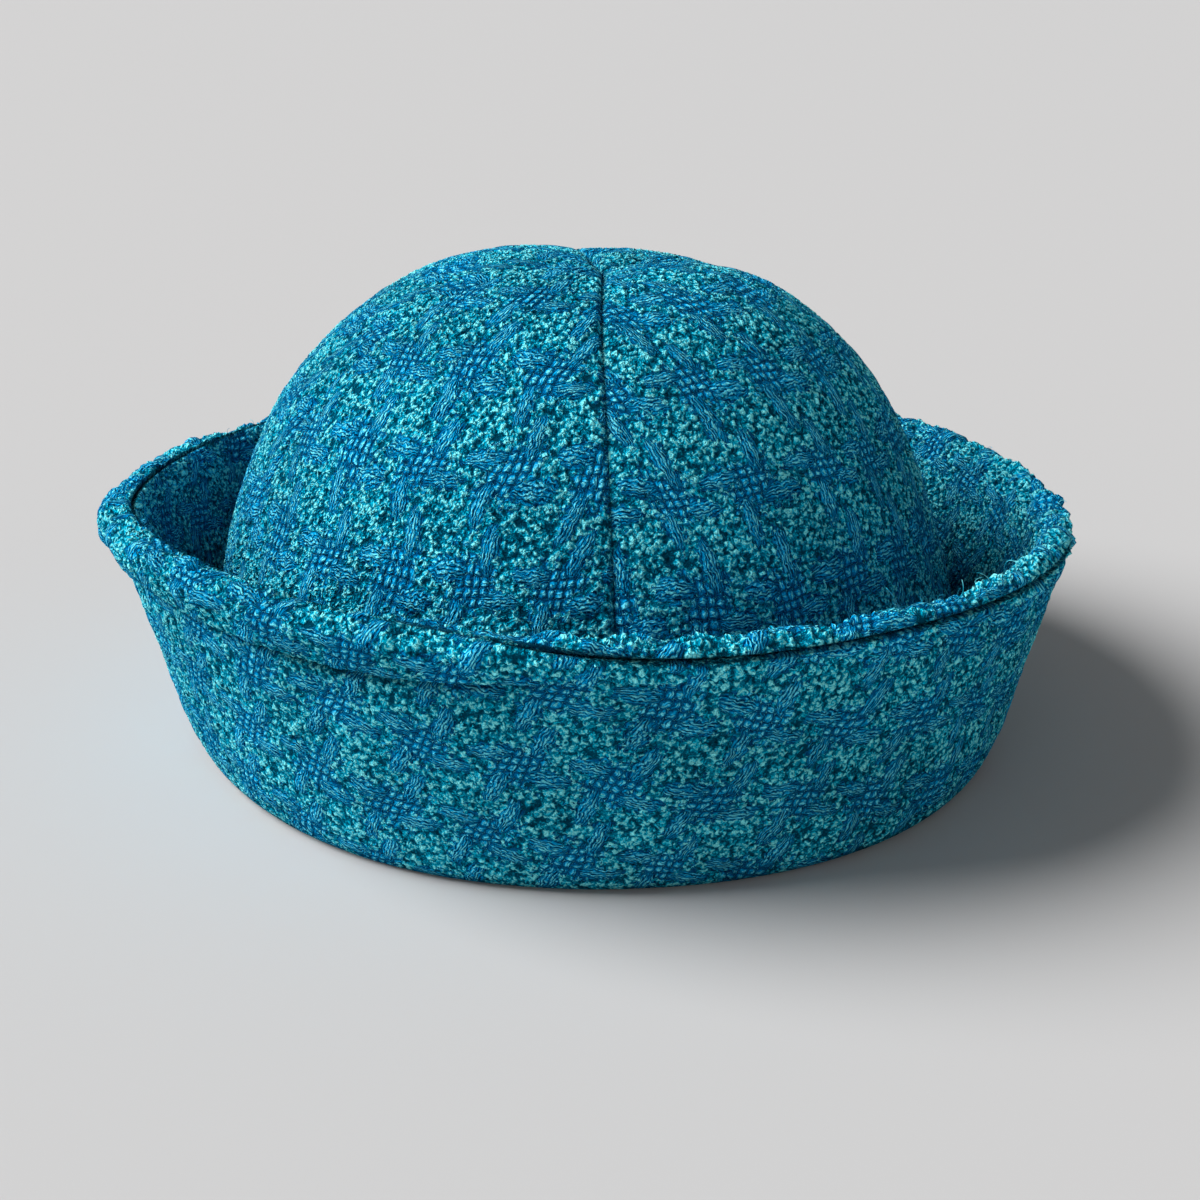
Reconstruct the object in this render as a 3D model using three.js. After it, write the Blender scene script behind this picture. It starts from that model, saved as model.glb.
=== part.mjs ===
// Sailor hat of woven cloth: a domed crown of four gores and a deep brim of two layers,
// turned up all the way round. Millimetres, +Z up, front seam of the crown towards -Y.
// The hat stands on the fold of its brim, and the hollow for the head opens downwards.
import * as THREE from 'three';
import { mergeVertices } from 'three/addons/utils/BufferGeometryUtils.js';

// Cloth
const clothThickness = 2.6;
const pieceGap = 0.3;
const crownColour = '#1f7f99';
const brimColour = '#1f7f99';
const innerBrimColour = '#1d7790';

// Crown: one meridian of the dome, from its lower edge to the top, and the seams by their
// azimuth at the lower edge, with the twist that they have gained where they meet
const crownMeridian = [
  { up: 0.4, out: 93.7 },
  { up: 20, out: 92.8 },
  { up: 40, out: 89.6 },
  { up: 60, out: 83.6 },
  { up: 77, out: 75.8 },
  { up: 90, out: 66.8 },
  { up: 100, out: 56.8 },
  { up: 108, out: 44.6 },
  { up: 112.6, out: 32 },
  { up: 114.8, out: 18 },
  { up: 115.2, out: 0 },
];
const crownLean = { x: -2.6, y: 2.5, reachedAt: 55 };
const crownSeams = [
  { side: 'front', azimuth: -90, twist: 0 },
  { side: 'right', azimuth: 8, twist: 22 },
  { side: 'back', azimuth: 92, twist: 0 },
  { side: 'left', azimuth: 190, twist: 24 },
];
const crownGores = [
  { name: 'crown_gore_front_right', fromSeam: 0 },
  { name: 'crown_gore_back_right', fromSeam: 1 },
  { name: 'crown_gore_back_left', fromSeam: 2 },
  { name: 'crown_gore_front_left', fromSeam: 3 },
];
const seamMeeting = { x: 3.8, y: -8.5, radius: 36 };
const seamGroove = { depth: 1.3, halfWidth: 1.7 };
const gorePuff = { rise: 1.6, reachedAt: 45 };
const topDimple = { depth: 2.4, radius: 12 };
const crownDents = [
  { azimuth: 45, out: 26, up: 113, depth: 2.8, radius: 24 },
  { azimuth: 20, out: 60, up: 97, depth: 1, radius: 30 },
  { azimuth: 185, out: 48, up: 105, depth: 1.8, radius: 28 },
];
const goreColumns = 20;
const goreRows = 14;

// Brim: the fold that it stands on and the rolled top edge, all the way round.
// fold is the outer radius of the fold, out and up place the middle of the roll, seamTurn is
// the angle of the edge seam from the top of the roll towards the inside, and band is how far
// the turned-in cloth stands out on the outer face just under the roll.
const brimEdge = [
  { azimuth: 0, fold: 100.2, out: 112.6, up: 52.8, seamTurn: -66, band: 0 },
  { azimuth: 30, fold: 100.6, out: 113, up: 53.4, seamTurn: -66, band: 0 },
  { azimuth: 60, fold: 101, out: 114, up: 54, seamTurn: -66, band: 0 },
  { azimuth: 90, fold: 102.6, out: 114.6, up: 53.6, seamTurn: -66, band: 0 },
  { azimuth: 120, fold: 103.8, out: 115, up: 53, seamTurn: -20, band: 0.4 },
  { azimuth: 150, fold: 103.4, out: 115, up: 53.4, seamTurn: 30, band: 0.8 },
  { azimuth: 180, fold: 102.4, out: 114.4, up: 56.6, seamTurn: 55, band: 1 },
  { azimuth: 210, fold: 100.8, out: 113.4, up: 61.4, seamTurn: 55, band: 1 },
  { azimuth: 240, fold: 102.6, out: 113.2, up: 60, seamTurn: 50, band: 1 },
  { azimuth: 270, fold: 103.2, out: 113.4, up: 58, seamTurn: -50, band: 0.6 },
  { azimuth: 300, fold: 104.4, out: 113.4, up: 57.2, seamTurn: -66, band: 0 },
  { azimuth: 330, fold: 103, out: 113.6, up: 55.4, seamTurn: -66, band: 0 },
];
const foldRounding = 4;
const foldInnerRadius = 94.1;
const rollRadius = 3.4;
const wallBow = 1;
const bandWidth = 8.5;
const edgeSeam = { depth: 0.9, halfAngle: 14 };
const seamAllowance = 5;
const brimSections = 72;
const foldSteps = 3;
const outerRollSteps = 5;
const innerRollSteps = 7;

const toRadians = THREE.MathUtils.degToRad;
const smoothRise = THREE.MathUtils.smoothstep;

// One closed body from four-cornered facets, each anticlockwise seen from outside.
function bodyFromFacets(facets) {
  const corners = facets.flatMap(([a, b, c, d]) => [a, b, c, a, c, d]);
  const body = mergeVertices(new THREE.BufferGeometry().setFromPoints(corners), 1e-4);
  const index = [];
  for (let i = 0; i < corners.length; i += 3) {
    const [a, b, c] = [0, 1, 2].map((k) => body.index.getX(i + k));
    if (a !== b && b !== c && c !== a) index.push(a, b, c);
  }
  body.setIndex(index);
  return body;
}

// Dome without its seams: the spot at a share of the meridian, 0 at the lower edge and 1 at
// the top, with the direction that faces away from the cloth there.
const meridian = new THREE.SplineCurve(crownMeridian.map((row) => new THREE.Vector2(row.out, row.up)));
meridian.arcLengthDivisions = 400;

function domeSpot(share) {
  const place = meridian.getPointAt(share);
  const along = meridian.getTangentAt(share);
  return { out: Math.max(place.x, 0), up: place.y, faceOut: along.y, faceUp: -along.x };
}

// Height of a gore's cloth over the plain dome: puffed between the seams, drawn in along
// them and sunk at the top where they meet.
function goreRelief(spot, turn, across, grooveDepth) {
  const toSeam = (Math.PI / 2) * spot.out * Math.min(across, 1 - across);
  let relief = gorePuff.rise * smoothRise(spot.up, 0, gorePuff.reachedAt) * Math.sin(Math.PI * across);
  relief -= grooveDepth * Math.exp(-((toSeam / seamGroove.halfWidth) ** 2));
  relief -= topDimple.depth * Math.exp(-((spot.out / topDimple.radius) ** 2));
  for (const dent of crownDents) {
    const aside = 2 * spot.out * dent.out * Math.cos(turn - toRadians(dent.azimuth));
    const squared = spot.out ** 2 + dent.out ** 2 - aside + (spot.up - dent.up) ** 2;
    relief -= dent.depth * Math.exp(-squared / dent.radius ** 2);
  }
  return relief;
}

// A point of the crown: out from its middle in the direction turn, at a height over the dome.
function crownPoint(spot, turn, out, height) {
  const lean = smoothRise(spot.up, 0, crownLean.reachedAt);
  const nearTop = Math.exp(-((spot.out / seamMeeting.radius) ** 2));
  return new THREE.Vector3(
    crownLean.x * lean + seamMeeting.x * nearTop + out * Math.cos(turn),
    crownLean.y * lean + seamMeeting.y * nearTop + out * Math.sin(turn),
    spot.up + spot.faceUp * height,
  );
}

// Where a gore starts at a share of the meridian, and how far it turns to its other seam.
function goreSpan(fromSeam, share) {
  const [start, end] = [fromSeam, (fromSeam + 1) % crownSeams.length].map((k) => {
    return toRadians(crownSeams[k].azimuth + crownSeams[k].twist * share);
  });
  return { startTurn: start, span: THREE.MathUtils.euclideanModulo(end - start, 2 * Math.PI) };
}

// One face of a gore, as rows of points from the lower edge to the tip.
function goreFace(fromSeam, depth, grooveDepth) {
  const rows = [];
  for (let row = 0; row < goreRows; row += 1) {
    const share = 1 - (1 - row / goreRows) ** 1.25;
    const spot = domeSpot(share);
    const { startTurn, span } = goreSpan(fromSeam, share);
    const points = [];
    for (let column = 0; column <= goreColumns; column += 1) {
      const across = 0.5 - 0.5 * Math.cos((Math.PI * column) / goreColumns);
      const height = goreRelief(spot, startTurn + across * span, across, grooveDepth) - depth;
      const out = spot.out + spot.faceOut * height;
      const margin = Math.asin(pieceGap / 2 / out);
      points.push(crownPoint(spot, startTurn + margin + across * (span - 2 * margin), out, height));
    }
    rows.push(points);
  }
  const { startTurn, span } = goreSpan(fromSeam, 1);
  const tipOut = pieceGap / 2 / Math.sin(span / 2);
  const topHeight = -topDimple.depth - grooveDepth - depth;
  const tip = crownPoint(domeSpot(1), startTurn + span / 2, tipOut, topHeight);
  rows.push(rows[0].map(() => tip));
  return rows;
}

// One gore: its outer and inner faces, closed along both seams and along the lower edge.
function goreBody(fromSeam) {
  const outer = goreFace(fromSeam, 0, seamGroove.depth);
  const inner = goreFace(fromSeam, clothThickness, 0);
  const facets = [];
  for (let row = 0; row < goreRows; row += 1) {
    for (let column = 0; column < goreColumns; column += 1) {
      const [o, oUp, i, iUp] = [outer[row], outer[row + 1], inner[row], inner[row + 1]];
      facets.push([o[column], o[column + 1], oUp[column + 1], oUp[column]]);
      facets.push([i[column], iUp[column], iUp[column + 1], i[column + 1]]);
    }
    const [o, oUp, i, iUp] = [outer[row], outer[row + 1], inner[row], inner[row + 1]];
    facets.push([o[0], oUp[0], iUp[0], i[0]]);
    facets.push([o[goreColumns], i[goreColumns], iUp[goreColumns], oUp[goreColumns]]);
  }
  for (let column = 0; column < goreColumns; column += 1) {
    facets.push([outer[0][column], inner[0][column], inner[0][column + 1], outer[0][column + 1]]);
  }
  return bodyFromFacets(facets);
}

// The brim's sizes at one azimuth, read smoothly between the rows of its table.
const edgeColumns = ['fold', 'out', 'up', 'seamTurn', 'band'];
const edgePaths = edgeColumns.map((column) => {
  const marks = brimEdge.map((row) => new THREE.Vector3(row[column], 0, 0));
  return new THREE.CatmullRomCurve3(marks, true, 'catmullrom');
});

function edgeAt(azimuth) {
  const share = THREE.MathUtils.euclideanModulo(azimuth, 360) / 360;
  const [fold, out, up, seamTurn, band] = edgePaths.map((path) => path.getPoint(share).x);
  return { fold, middle: new THREE.Vector2(out, up), seamTurn: toRadians(seamTurn), band: Math.max(band, 0) };
}

// Section of the brim at one azimuth: the directions along and out of its wall, and the
// middle of the wall between the two layers at the fold and at the roll.
function brimWall(azimuth) {
  const edge = edgeAt(azimuth);
  const foldMiddle = new THREE.Vector2(edge.fold - foldRounding, foldRounding);
  const along = edge.middle.clone().sub(foldMiddle).normalize();
  const outward = new THREE.Vector2(along.y, -along.x);
  const half = clothThickness + pieceGap / 2;
  const from = (origin, down, off) => origin.clone().addScaledVector(along, -down).addScaledVector(outward, off);
  const halfway = edge.middle.clone().add(foldMiddle).multiplyScalar(0.5);
  const onRoll = (angle, radius) => from(edge.middle, -Math.cos(angle) * radius, -Math.sin(angle) * radius);
  const rollOut = (angle) => rollRadius + edge.band * Math.max(0, -Math.sin(angle));
  return { ...edge, foldMiddle, halfway, outward, half, from, onRoll, rollOut };
}

// Where the two layers part inside the roll, for the outer layer (side 1) or the inner (side -1).
function partingCorner(wall, side) {
  const across = wall.onRoll(wall.seamTurn - Math.PI / 2, 1).sub(wall.middle);
  const sum = across.clone().add(wall.outward);
  return wall.middle.clone().addScaledVector(sum, (side * pieceGap) / 2 / (1 + across.dot(wall.outward)));
}

// Bottom of the groove of the edge seam, on the outer layer's side or the inner's.
function grooveFoot(wall, side) {
  const across = wall.onRoll(wall.seamTurn - Math.PI / 2, (side * pieceGap) / 2).sub(wall.middle);
  return wall.onRoll(wall.seamTurn, rollRadius - edgeSeam.depth).add(across);
}

// Outline of the outer layer: flat underside, fold, outer face, its share of the roll, and back.
function outerSection(azimuth) {
  const wall = brimWall(azimuth);
  const points = [new THREE.Vector2(foldInnerRadius, 0)];
  const lean = Math.atan2(wall.outward.y, wall.outward.x);
  for (let step = 0; step <= foldSteps; step += 1) {
    const angle = -Math.PI / 2 + ((lean + Math.PI / 2) * step) / foldSteps;
    const corner = new THREE.Vector2(Math.cos(angle), Math.sin(angle)).multiplyScalar(foldRounding);
    points.push(corner.add(wall.foldMiddle));
  }
  points.push(wall.from(wall.halfway, 0, wall.half + wallBow));
  points.push(wall.from(wall.middle, bandWidth * 1.25, wall.half + wallBow * 0.3));
  points.push(wall.from(wall.middle, bandWidth, wall.half + wall.band * 0.8));
  points.push(wall.from(wall.middle, bandWidth * 0.55, wall.half + wall.band));
  const end = wall.seamTurn - toRadians(edgeSeam.halfAngle);
  for (let step = 0; step <= outerRollSteps; step += 1) {
    const angle = -Math.PI / 2 + ((end + Math.PI / 2) * step) / outerRollSteps;
    points.push(wall.onRoll(angle, wall.rollOut(angle)));
  }
  points.push(grooveFoot(wall, 1));
  points.push(partingCorner(wall, 1));
  points.push(wall.from(wall.halfway, 0, wallBow + pieceGap / 2));
  points.push(wall.from(wall.foldMiddle, 0, foldRounding - clothThickness));
  points.push(new THREE.Vector2(wall.foldMiddle.x + 0.9, clothThickness));
  points.push(new THREE.Vector2(foldInnerRadius, clothThickness));
  return points;
}

// Outline of the inner layer: turned-in lower edge, face towards the outer layer, roll, inner face.
function innerSection(azimuth) {
  const wall = brimWall(azimuth);
  const floor = clothThickness + pieceGap;
  const edge = foldInnerRadius + pieceGap;
  const offset = foldRounding - clothThickness - pieceGap;
  const points = [new THREE.Vector2(edge, floor)];
  points.push(new THREE.Vector2(wall.foldMiddle.x + 0.7, floor));
  points.push(wall.from(wall.foldMiddle, 0, offset));
  points.push(wall.from(wall.halfway, 0, wallBow - pieceGap / 2));
  points.push(partingCorner(wall, -1));
  points.push(grooveFoot(wall, -1));
  const start = wall.seamTurn + toRadians(edgeSeam.halfAngle);
  for (let step = 0; step <= innerRollSteps; step += 1) {
    const angle = start + ((Math.PI / 2 - start) * step) / innerRollSteps;
    points.push(wall.onRoll(angle, wall.rollOut(angle)));
  }
  points.push(wall.from(wall.middle, bandWidth * 0.55, -wall.half));
  points.push(wall.from(wall.halfway, 0, wallBow - wall.half));
  points.push(wall.from(wall.foldMiddle, -seamAllowance, offset - clothThickness));
  points.push(new THREE.Vector2(edge, floor + seamAllowance / 2));
  return points;
}

// Closed ring round the hat from a section outline that may change with the azimuth. The inner
// layer's facets are halved along their other diagonal, so that the faces of the two layers
// that lie together bend alike.
function ringBody(sectionAt, otherDiagonal) {
  const rings = [];
  for (let section = 0; section < brimSections; section += 1) {
    const azimuth = (360 * section) / brimSections;
    const turn = toRadians(azimuth);
    const place = (point) => new THREE.Vector3(point.x * Math.cos(turn), point.x * Math.sin(turn), point.y);
    rings.push(sectionAt(azimuth).map(place));
  }
  const facets = [];
  rings.forEach((ring, section) => {
    const nextRing = rings[(section + 1) % brimSections];
    ring.forEach((point, k) => {
      const above = (k + 1) % ring.length;
      const facet = [point, nextRing[k], nextRing[above], ring[above]];
      facets.push(otherDiagonal ? [...facet.slice(1), point] : facet);
    });
  });
  return bodyFromFacets(facets);
}

const hat = new THREE.Group();
hat.name = 'sailor_hat';

function addPiece(name, body, colour) {
  body.computeVertexNormals();
  const cloth = new THREE.MeshStandardMaterial({ color: colour, roughness: 0.95, metalness: 0 });
  const piece = new THREE.Mesh(body, cloth);
  piece.name = name;
  hat.add(piece);
}

for (const gore of crownGores) addPiece(gore.name, goreBody(gore.fromSeam), crownColour);
addPiece('brim_outer', ringBody(outerSection, false), brimColour);
addPiece('brim_inner', ringBody(innerSection, true), innerBrimColour);

// The origin lies on the surface that the hat stands on, under the middle of its outline.
const extent = new THREE.Box3().setFromObject(hat);
const middle = extent.getCenter(new THREE.Vector3());
for (const piece of hat.children) piece.geometry.translate(-middle.x, -middle.y, -extent.min.z);

export default hat;
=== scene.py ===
import math

import bpy
import numpy as np
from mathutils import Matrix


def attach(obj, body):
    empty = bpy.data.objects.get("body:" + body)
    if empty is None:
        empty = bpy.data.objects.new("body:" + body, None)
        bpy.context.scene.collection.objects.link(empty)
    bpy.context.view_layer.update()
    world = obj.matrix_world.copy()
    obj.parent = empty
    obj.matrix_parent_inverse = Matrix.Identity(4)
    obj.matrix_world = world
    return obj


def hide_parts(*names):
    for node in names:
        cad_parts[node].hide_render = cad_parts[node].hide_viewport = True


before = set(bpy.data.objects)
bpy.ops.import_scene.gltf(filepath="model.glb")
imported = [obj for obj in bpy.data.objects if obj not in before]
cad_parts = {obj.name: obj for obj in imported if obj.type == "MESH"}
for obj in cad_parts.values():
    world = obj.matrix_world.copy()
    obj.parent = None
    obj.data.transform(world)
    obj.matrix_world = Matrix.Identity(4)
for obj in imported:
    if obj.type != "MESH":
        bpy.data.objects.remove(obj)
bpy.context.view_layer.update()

MM = 0.001

# All sizes are in millimetres and all angles in degrees, unless a comment says otherwise

# Where the hat's own axis stands in the frame
HAT_AXIS = (1.34, -0.29)

# Cloth
CLOTH_THICKNESS = 2.6
PANEL_GAP = 0.3
SEWN_GAP = 0.04

# Crown: a meridian of the dome from its lower edge to the top, how the dome leans, its four
# seams, the gores between them, and the dimple and dents in its top
CROWN_MERIDIAN = [
    {"up": 0.4, "out": 93.7},
    {"up": 20, "out": 92.8},
    {"up": 40, "out": 89.6},
    {"up": 60, "out": 83.6},
    {"up": 77, "out": 75.8},
    {"up": 90, "out": 66.8},
    {"up": 100, "out": 56.8},
    {"up": 108, "out": 44.6},
    {"up": 112.6, "out": 32},
    {"up": 114.8, "out": 18},
    {"up": 115.2, "out": 0},
]
CROWN_LEAN = {"x": -2.6, "y": 2.5, "reached_at": 55}
CROWN_SEAMS = [
    {"side": "front", "azimuth": -90, "twist": 0},
    {"side": "right", "azimuth": 8, "twist": 22},
    {"side": "back", "azimuth": 92, "twist": 0},
    {"side": "left", "azimuth": 190, "twist": 24},
]
CROWN_GORES = [
    {"node": "crown_gore_front_right", "from_seam": 0, "weave_shift": (0.1, 0.35)},
    {"node": "crown_gore_back_right", "from_seam": 1, "weave_shift": (0.6, 0.1)},
    {"node": "crown_gore_back_left", "from_seam": 2, "weave_shift": (0.3, 0.7)},
    {"node": "crown_gore_front_left", "from_seam": 3, "weave_shift": (0.8, 0.55)},
]
SEAM_MEETING = {"x": 3.8, "y": -8.5, "radius": 36}
SEAM_GROOVE = {"depth": 1.1, "half_width": 1}
GORE_PUFF = {"rise": 1.6, "reached_at": 45}
TOP_DIMPLE = {"depth": 2.4, "radius": 12}
CROWN_DENTS = [
    {"azimuth": 45, "out": 26, "up": 113, "depth": 2.8, "radius": 24},
    {"azimuth": 20, "out": 60, "up": 97, "depth": 1, "radius": 30},
    {"azimuth": 185, "out": 48, "up": 105, "depth": 1.8, "radius": 28},
]

# Brim, all the way round: how far out the fold is, how far out and up the middle of the rolled
# edge is, where the parting of the two layers lies on the roll, and how full the band under it is
BRIM_EDGE = [
    {"azimuth": 0, "fold": 100.2, "out": 112.6, "up": 52.8, "seam_turn": -66, "band": 0},
    {"azimuth": 30, "fold": 100.6, "out": 113, "up": 53.4, "seam_turn": -66, "band": 0},
    {"azimuth": 60, "fold": 101, "out": 114, "up": 54, "seam_turn": -66, "band": 0},
    {"azimuth": 90, "fold": 102.6, "out": 114.6, "up": 53.6, "seam_turn": -66, "band": 0},
    {"azimuth": 120, "fold": 103.8, "out": 115, "up": 53, "seam_turn": -20, "band": 0.4},
    {"azimuth": 150, "fold": 103.4, "out": 115, "up": 53.4, "seam_turn": 30, "band": 0.8},
    {"azimuth": 180, "fold": 102.4, "out": 114.4, "up": 56.6, "seam_turn": 55, "band": 1},
    {"azimuth": 210, "fold": 100.8, "out": 113.4, "up": 61.4, "seam_turn": 55, "band": 1},
    {"azimuth": 240, "fold": 102.6, "out": 113.2, "up": 60, "seam_turn": 32, "band": 1},
    {"azimuth": 270, "fold": 103.2, "out": 113.4, "up": 58, "seam_turn": -63, "band": 0.35},
    {"azimuth": 300, "fold": 104.4, "out": 113.4, "up": 57.2, "seam_turn": -66, "band": 0},
    {"azimuth": 330, "fold": 103, "out": 113.6, "up": 55.4, "seam_turn": -66, "band": 0},
]
FOLD_ROUNDING = 4
FOLD_INNER_RADIUS = 94.1
ROLL_RADIUS = 3.4
WALL_BOW = 1
BAND_WIDTH = 7.2
BAND_RISE = 2.5
ROLL_LUMPS = 1.2
LUMPS_FADE = (1, 4)

# The band's outer face: how far down each mark lies in band widths, how much of the wall's bow
# it takes, and how much of the band's rise
BAND_PROFILE = [
    {"down": 1.65, "bow": 0.4, "rise": 0},
    {"down": 1.38, "bow": 0.3, "rise": -0.08},
    {"down": 1.22, "bow": 0.25, "rise": -0.7},
    {"down": 1.08, "bow": 0.2, "rise": 0.1},
    {"down": 0.98, "bow": 0.15, "rise": 0.6},
    {"down": 0.8, "bow": 0.1, "rise": 0.95},
    {"down": 0.5, "bow": 0, "rise": 1.05},
]
# Where the band's foot lies, in band widths down, how wide it is and how much of the relief is
# flattened there; the cloth's colour darkens with the flattening, a painted shadow under the band
BAND_FOOT = {"down": 1.26, "half_width": 1.5, "flattened": 0.9}
EDGE_SEAM = {"depth": 1.1, "half_angle": 10}
SEAM_ALLOWANCE = 5

# Where the inner layer's wall starts below the roll, in band widths, and how far beyond the
# fold's middle each layer's hidden corner lies
UNDER_ROLL = 0.55
HIDDEN_CORNER = {"outer": 0.9, "inner": 0.7}

# The weave's repeat: one step along the weft and one along the warp, each as
# the way that it goes to the right and up on the face of the panel
CROWN_REPEAT = {"weft": (18.8, 0.0), "warp": (0.0, -23.8)}
BRIM_WRAP = {"wefts": 32, "warps": -7, "warp": (-8.4, -18.8), "round": 2 * math.pi * 108}
YARNS_A_REPEAT = 10

# How far the yarns wander, in repeats
YARN_WANDER = {"long": 0.045, "short": 0.03}

# How finely the cloth's faces are divided
GORE_FACE = {"columns": 236, "rows": 270, "inner_columns": 24}
BRIM_FACE = {"columns": 1080, "rows": 80}

# Where the yarns' relief fades out: on a gore within so much of its seams, in the lowest share
# of its meridian and at so much from the top; on the brim at its edge rows and near the floor.
# The cloth's colour is darkened where the relief fades, as painted shade.
GORE_FLATTENED = {"at_seams": 0.9, "at_foot": 0.01, "at_top": (0.5, 4)}
BRIM_FLATTENED = {"edge_rows": 1, "above_floor": (1, 4.5)}


def put_in_scene(name, data):
    thing = bpy.data.objects.new(name, data)
    bpy.context.scene.collection.objects.link(thing)
    return thing


def pick_out(piece):
    bpy.ops.object.select_all(action="DESELECT")
    bpy.context.view_layer.objects.active = piece
    piece.select_set(True)


def smooth_rise(value, low, high):
    t = np.clip((value - low) / (high - low), 0, 1)
    return t * t * (3 - 2 * t)


# The dome's meridian, read by the share of its length
def meridian_table(steps=400):
    marks = np.array([(row["out"], row["up"]) for row in CROWN_MERIDIAN], float)
    padded = np.vstack([marks[:1], marks, marks[-1:]])
    points = []
    for k in range(len(marks) - 1):
        before, a, b, after = padded[k : k + 4]
        t = np.linspace(0, 1, steps, endpoint=False)[:, None]
        points.append(catmull_rom(before, a, b, after, t))
    points = np.vstack([*points, marks[-1:]])
    length = np.concatenate([[0], np.cumsum(np.linalg.norm(np.diff(points, axis=0), axis=1))])
    tangent = np.gradient(points, axis=0)
    tangent /= np.linalg.norm(tangent, axis=1)[:, None]
    share = length / length[-1]
    return {"share": share, "length": length[-1], "points": points, "tangent": tangent}


# A smooth curve from a to b, given the slope that it leaves a with and the slope it arrives with
def bridge(a, b, leaving, arriving, t):
    return (
        (2 * a - 2 * b + leaving + arriving) * t**3
        + (-3 * a + 3 * b - 2 * leaving - arriving) * t**2
        + leaving * t
        + a
    )


def catmull_rom(before, a, b, after, t):
    return bridge(a, b, (b - before) / 2, (after - a) / 2, t)


MERIDIAN = meridian_table()


# Out and up on the dome at a share of its meridian, and the way that its face looks there
def dome_spot(share):
    table = MERIDIAN
    out, up = (np.interp(share, table["share"], table["points"][:, k]) for k in (0, 1))
    along_out, along_up = (np.interp(share, table["share"], table["tangent"][:, k]) for k in (0, 1))
    return np.maximum(out, 0), up, along_up, -along_out


# A gore's seams at a share of the meridian: where it starts and how far it turns
def gore_span(from_seam, share):
    start, end = (
        np.radians(CROWN_SEAMS[k]["azimuth"] + CROWN_SEAMS[k]["twist"] * share)
        for k in (from_seam, (from_seam + 1) % 4)
    )
    return start, (end - start) % (2 * np.pi)


# Place of the gore's cloth at a share across it and a share up it, with lift over its face
def gore_surface(from_seam, across, share, lift, groove_depth, gap):
    out, up, face_out, face_up = dome_spot(share)
    start, span = gore_span(from_seam, share)
    turn = start + across * span
    to_seam = np.pi / 2 * out * np.minimum(across, 1 - across)
    puffed = smooth_rise(up, 0, GORE_PUFF["reached_at"])
    height = GORE_PUFF["rise"] * puffed * np.sin(np.pi * across)
    height = height - groove_depth * np.exp(-((to_seam / SEAM_GROOVE["half_width"]) ** 2))
    height = height - TOP_DIMPLE["depth"] * np.exp(-((out / TOP_DIMPLE["radius"]) ** 2))
    for dent in CROWN_DENTS:
        aside = 2 * out * dent["out"] * np.cos(turn - np.radians(dent["azimuth"]))
        squared = out**2 + dent["out"] ** 2 - aside + (up - dent["up"]) ** 2
        height = height - dent["depth"] * np.exp(-squared / dent["radius"] ** 2)
    height = height + lift
    radius = out + face_out * height
    margin = np.arcsin(np.clip(gap / 2 / np.maximum(radius, 0.1), 0, 1))
    turn = start + margin + across * (span - 2 * margin)
    lean = smooth_rise(up, 0, CROWN_LEAN["reached_at"])
    near_top = np.exp(-((radius / SEAM_MEETING["radius"]) ** 2))
    x = CROWN_LEAN["x"] * lean + SEAM_MEETING["x"] * near_top + radius * np.cos(turn)
    y = CROWN_LEAN["y"] * lean + SEAM_MEETING["y"] * near_top + radius * np.sin(turn)
    return np.stack([x + HAT_AXIS[0], y + HAT_AXIS[1], up + face_up * height], -1)


# Slow wander of the yarns over the cloth: a long and a short wave each way
def yarn_wander(place):
    x, y, z = (place[..., k] for k in range(3))
    long, short = YARN_WANDER["long"], YARN_WANDER["short"]
    first = long * np.sin(x / 9.1 + y / 13.7 + z / 7.3) + short * np.sin(y / 5.9 - z / 11.9 + 1.3)
    second = long * np.sin(y / 8.3 - x / 12.1 + z / 6.7 + 2.1) + short * np.sin(x / 6.3 + z / 9.7)
    return np.stack([first, second], -1)


# Places in the weave, in repeats along the weft and along the warp, from millimetres to the
# right and up on the panel's face
def in_repeats(right, up, weft, warp):
    whole = weft[0] * warp[1] - weft[1] * warp[0]
    along_weft = (right * warp[1] - up * warp[0]) / whole
    along_warp = (up * weft[0] - right * weft[1]) / whole
    return np.stack([along_weft, along_warp], -1)


# One cloth body: its points, its faces, and per point the place in the weave and how much of
# the yarns' relief it takes
def new_cloth(name, points, faces, weave_place, relief_share):
    mesh = bpy.data.meshes.new(name)
    points = np.asarray(points, np.float32)
    sizes = np.array([len(face) for face in faces], np.int32)
    corners = np.concatenate([np.asarray(face, np.int32) for face in faces])
    mesh.vertices.add(len(points))
    mesh.vertices.foreach_set("co", (points * MM).ravel())
    mesh.loops.add(len(corners))
    mesh.loops.foreach_set("vertex_index", corners)
    mesh.polygons.add(len(sizes))
    starts = np.concatenate([[0], np.cumsum(sizes)[:-1]])
    mesh.polygons.foreach_set("loop_start", starts.astype(np.int32))
    mesh.polygons.foreach_set("loop_total", sizes)
    mesh.update(calc_edges=True)
    mesh.validate()
    rest = mesh.attributes.new("before_relief", "FLOAT_VECTOR", "POINT")
    rest.data.foreach_set("vector", points.ravel())
    relief = np.concatenate([weave_place, relief_share[:, None]], 1).astype(np.float32)
    for_relief = mesh.attributes.new("weave_and_relief", "FLOAT_VECTOR", "POINT")
    for_relief.data.foreach_set("vector", relief.ravel())
    return put_in_scene(name, mesh)


# Weave places on the corners of the faces, so that a ring's last face doesn't run back to 0
def mark_weave(piece, corner_places):
    layer = piece.data.uv_layers.new(name="weave")
    layer.data.foreach_set("uv", np.asarray(corner_places, np.float32).ravel())


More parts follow.
